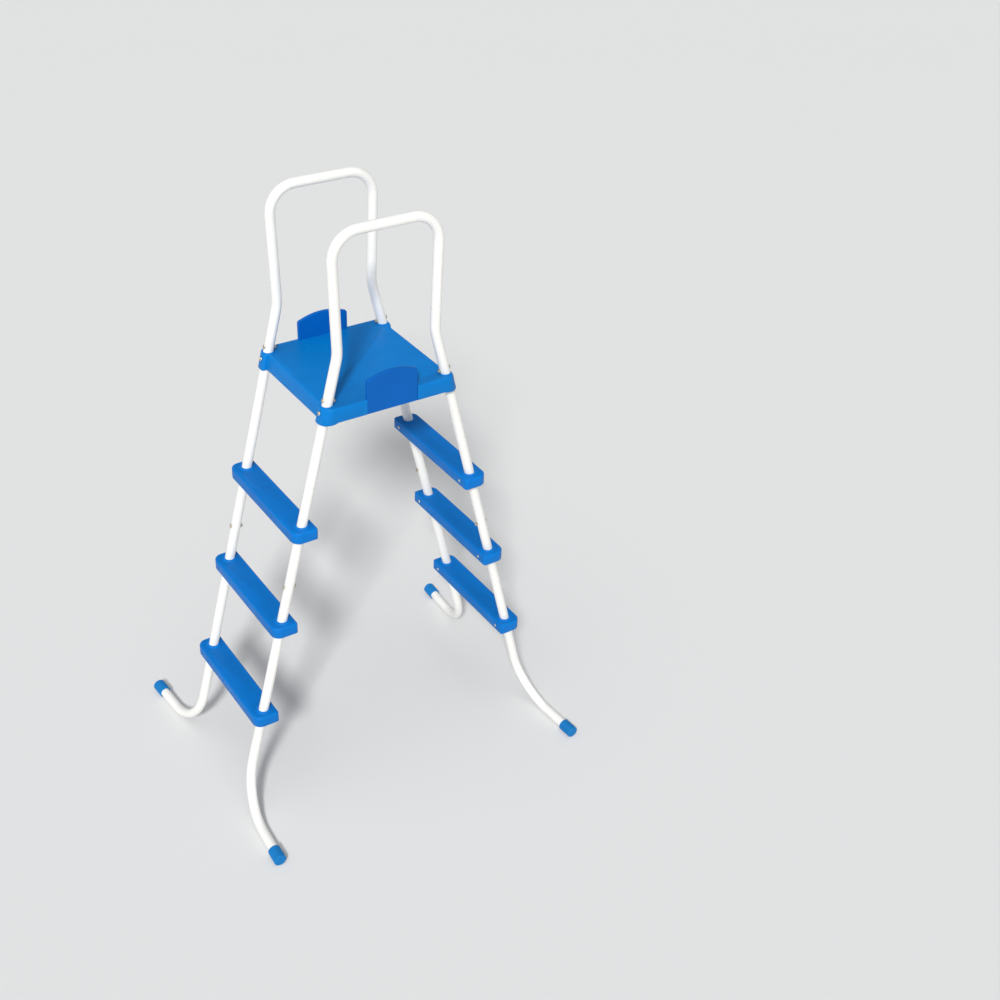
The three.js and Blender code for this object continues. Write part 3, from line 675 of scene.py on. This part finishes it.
def make_pin(name, radius, head_radius, head_height, reach, tip, thread_from, pitch):
    pin = link_object(name, *lathe(screw_profile(radius, head_radius, head_height, reach, tip, thread_from, pitch), 32))
    top = -reach - head_height
    arm, width, deep = head_radius * 0.5, head_radius * 0.13, head_height * 0.62
    cross = [block((-arm, -width, top - 2), (arm, width, top + deep)),
             block((-width, -arm, top - 2), (width, arm, top + deep))]
    return combine(pin, "DIFFERENCE", cross)


def make_nut(name):
    """A chamfered hexagon nut with a bore, standing on Z = 0."""
    corner = NUT_WIDTH / 2 / math.cos(math.pi / 6)
    nut = link_object(name, *lathe([(0, 0), (corner, 0), (corner, NUT_HEIGHT), (0, NUT_HEIGHT)], 6))
    flat = NUT_WIDTH / 2
    round_off = lathe([(0, 0), (flat, 0), (corner + 0.1, 0.7), (corner + 0.1, NUT_HEIGHT - 0.7),
                       (flat, NUT_HEIGHT), (0, NUT_HEIGHT)], 48)
    combine(nut, "INTERSECT", [round_off])
    bore = lathe([(0, -1), (3.9, -1), (3.9, 0), (3.25, 0.6), (3.25, NUT_HEIGHT - 0.6), (3.9, NUT_HEIGHT),
                  (3.9, NUT_HEIGHT + 1), (0, NUT_HEIGHT + 1)], 32)
    return combine(nut, "DIFFERENCE", [bore])


# ---- putting the pieces in place ----
def settle(piece, name, node, material, smooth_angle=34):
    piece.name = name
    piece.data.name = name
    piece.data.materials.clear()
    piece.data.materials.append(material)
    piece.data.shade_smooth()
    piece.data.set_sharp_from_angle(angle=math.radians(smooth_angle))
    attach(piece, "root")
    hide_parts(node)


def build(shape, turn, node, material):
    around = rotation("Z", turn)
    settle(link_object(node + "_look", *moved(shape, around)), node + "_look", node, material)


def place_copy(blank, matrix, node, material):
    """A copy of a blank with its place put into the mesh. matrix is in metres."""
    piece = blank.copy()
    piece.data = blank.data.copy()
    scene.collection.objects.link(piece)
    piece.data.transform(matrix)
    settle(piece, node + "_look", node, material)


def leg_matrix(side, turn, height, across=0.0):
    """Metre matrix from a fastener's own frame (Z along it) to its place across a leg."""
    to_y = Matrix.Rotation(-math.pi / 2, 4, "X")
    in_leg = Matrix.Translation((0, across * MM, along_leg(height) * MM)) @ to_y
    flight = Matrix.Translation((side * LEG_X * MM, -LEG_Y * MM, DECK_TOP * MM))
    return Matrix.Rotation(turn, 4, "Z") @ flight @ Matrix.Rotation(-LEAN, 4, "X") @ in_leg


add_camera()
add_stage()
white = powder_coat()
zinc = zinc_plate()
tread_blue = moulded_plastic("tread_blue", (0.0, 0.155, 0.525), (0.04, 0.26, 0.66), 0.35)
deck_blue = moulded_plastic("deck_blue", (0.0, 0.174, 0.535), (0.06, 0.32, 0.72), 0.35)
guard_blue = moulded_plastic("guard_blue", (0.0, 0.105, 0.430), (0.04, 0.22, 0.60), 0.22)
cap_blue = moulded_plastic("cap_blue", (0.008, 0.175, 0.470), (0.08, 0.33, 0.66), 0.5)

on_tube = TUBE_RADIUS + GAP
on_block = (BLOCK_Y - LEG_Y) * math.cos(LEAN) + GAP
on_sleeve = SLEEVE_RADIUS + GAP
joints = (
    ("leg_joint", LEG_BOLT_HEIGHT, on_tube, on_tube),
    ("deck", DECK_BOLT_HEIGHT, on_block, on_sleeve),
    ("handrail", RAIL_BOLT_HEIGHT, on_tube, on_tube),
)
nut_blank = make_nut("nut_blank")
screw_blank = make_pin("screw_blank", 2.2, 4.5, 3, TREAD_BACK + GAP, 28 - TREAD_BACK, -26, 1.6)
tread_blank = make_tread()
blanks = [nut_blank, screw_blank, tread_blank]
bolt_blanks = {}
for where, height, head_reach, nut_reach in joints:
    tip = nut_reach + NUT_HEIGHT + 2
    bolt_blanks[where] = make_pin(
        f"{where}_bolt_blank", BOLT_RADIUS, HEAD_RADIUS, HEAD_HEIGHT, head_reach, tip, nut_reach - 4, 1.0)
blanks += bolt_blanks.values()

for place, turn in (("garden", 0.0), ("water", math.pi)):
    for side in (-1, 1):
        hand = "right" if side * math.cos(turn) > 0 else "left"
        start = f"{place}_{hand}_"
        build(lower_leg(side), turn, start + "lower_leg", white)
        build(upper_leg(side), turn, start + "upper_leg", white)
        build(foot_cap(side), turn, start + "foot_cap", cap_blue)
        for where, height, head_reach, nut_reach in joints:
            matrix = leg_matrix(side, turn, height)
            place_copy(bolt_blanks[where], matrix, f"{start}{where}_bolt", zinc)
            matrix = leg_matrix(side, turn, height, nut_reach)
            place_copy(nut_blank, matrix, f"{start}{where}_nut", zinc)
        for index, top in enumerate(TREAD_TOPS, 1):
            spot = leg_point(top)
            centre = Matrix.Translation((side * LEG_X * MM, spot[1] * MM, (top - SCREW_DROP) * MM))
            matrix = Matrix.Rotation(turn, 4, "Z") @ centre @ Matrix.Rotation(math.pi / 2, 4, "X")
            place_copy(screw_blank, matrix, f"{start}tread_{index}_screw", zinc)
    for index, top in enumerate(TREAD_TOPS, 1):
        spot = leg_point(top)
        matrix = Matrix.Rotation(turn, 4, "Z") @ Matrix.Translation((0, spot[1] * MM, top * MM))
        place_copy(tread_blank, matrix, f"{place}_tread_{index}", tread_blue)
for blank in blanks:
    bpy.data.objects.remove(blank)

settle(make_platform(), "platform_deck_look", "platform_deck", deck_blue)
for side, hand in ((-1, "left"), (1, "right")):
    guard = f"{hand}_side_guard"
    settle(side_guard(side), guard + "_look", guard, guard_blue)
    build(handrail(side), 0.0, f"{hand}_handrail", white)
